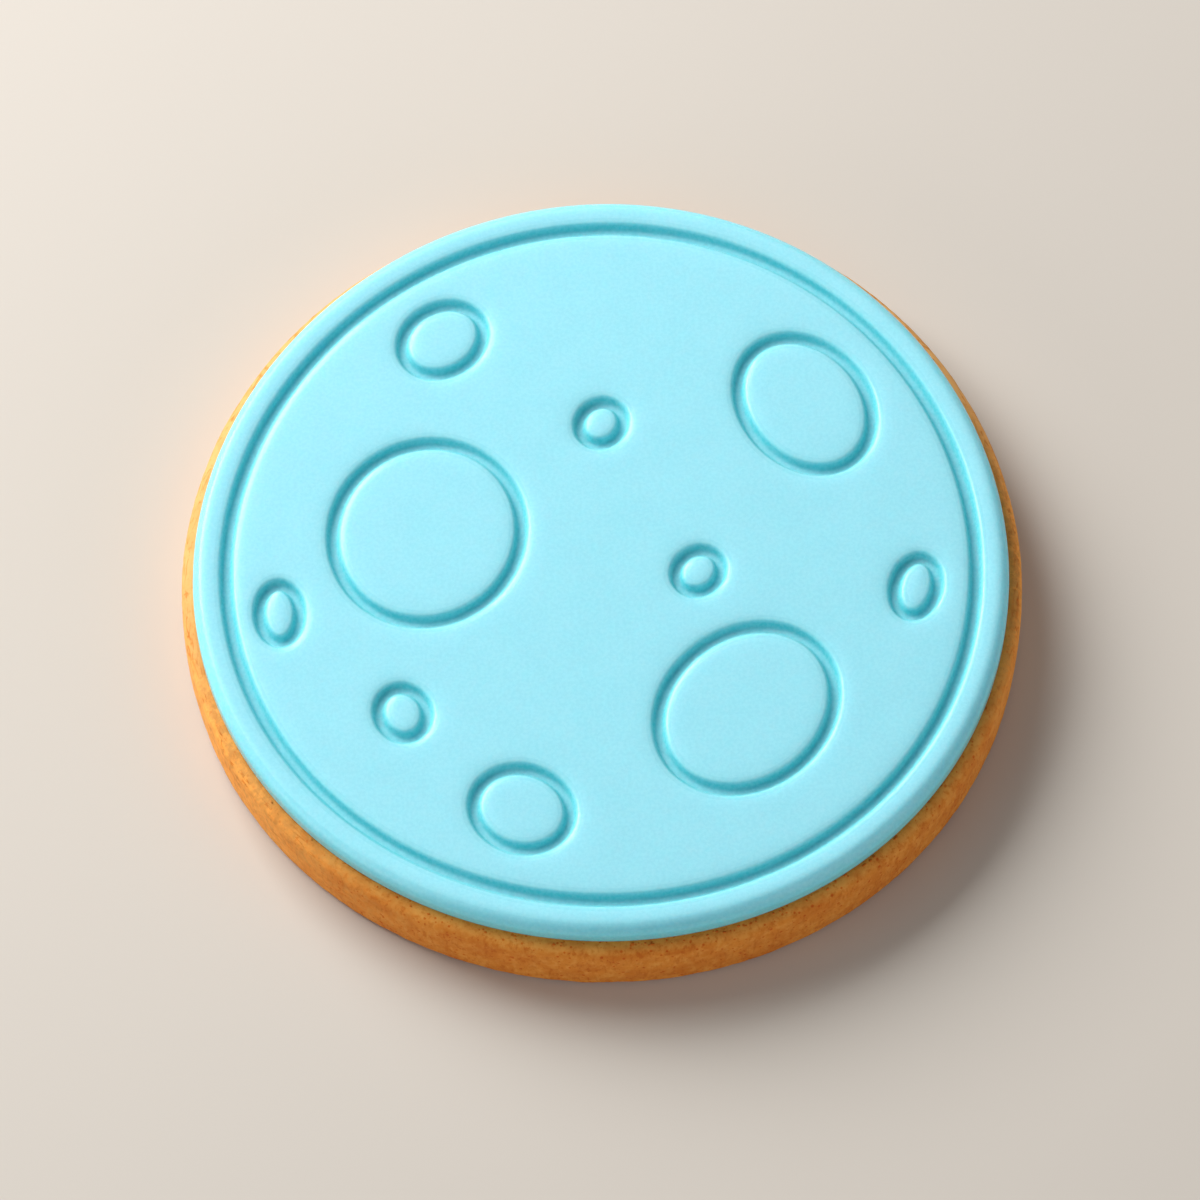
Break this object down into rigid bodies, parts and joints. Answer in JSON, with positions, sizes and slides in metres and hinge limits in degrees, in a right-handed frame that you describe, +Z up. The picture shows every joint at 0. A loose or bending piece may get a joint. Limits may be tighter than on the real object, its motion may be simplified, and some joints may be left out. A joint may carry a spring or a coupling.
{
  "type": "fondant cookie",
  "caption": "Round biscuit under a disc of pale blue rolled fondant, pressed with a ring along its rim and oval rings like the craters of a moon.",
  "frame": {"origin": "centre of the biscuit's flat underside", "axes": "+Z up through the fondant, -Y towards the front, +X to the right seen from the front"},
  "size_m": [0.075, 0.075, 0.009],
  "materials": {
    "biscuit": "dry, finely pored baked crumb, golden with a paler upper edge and a browner underside",
    "fondant": "smooth satin rolled sugar fondant, pale sky blue, deeper in the pressed lines"
  },
  "bodies": {
    "root": {"biscuit_base": "biscuit", "fondant_disc": "fondant"}
  },
  "joints": []
}
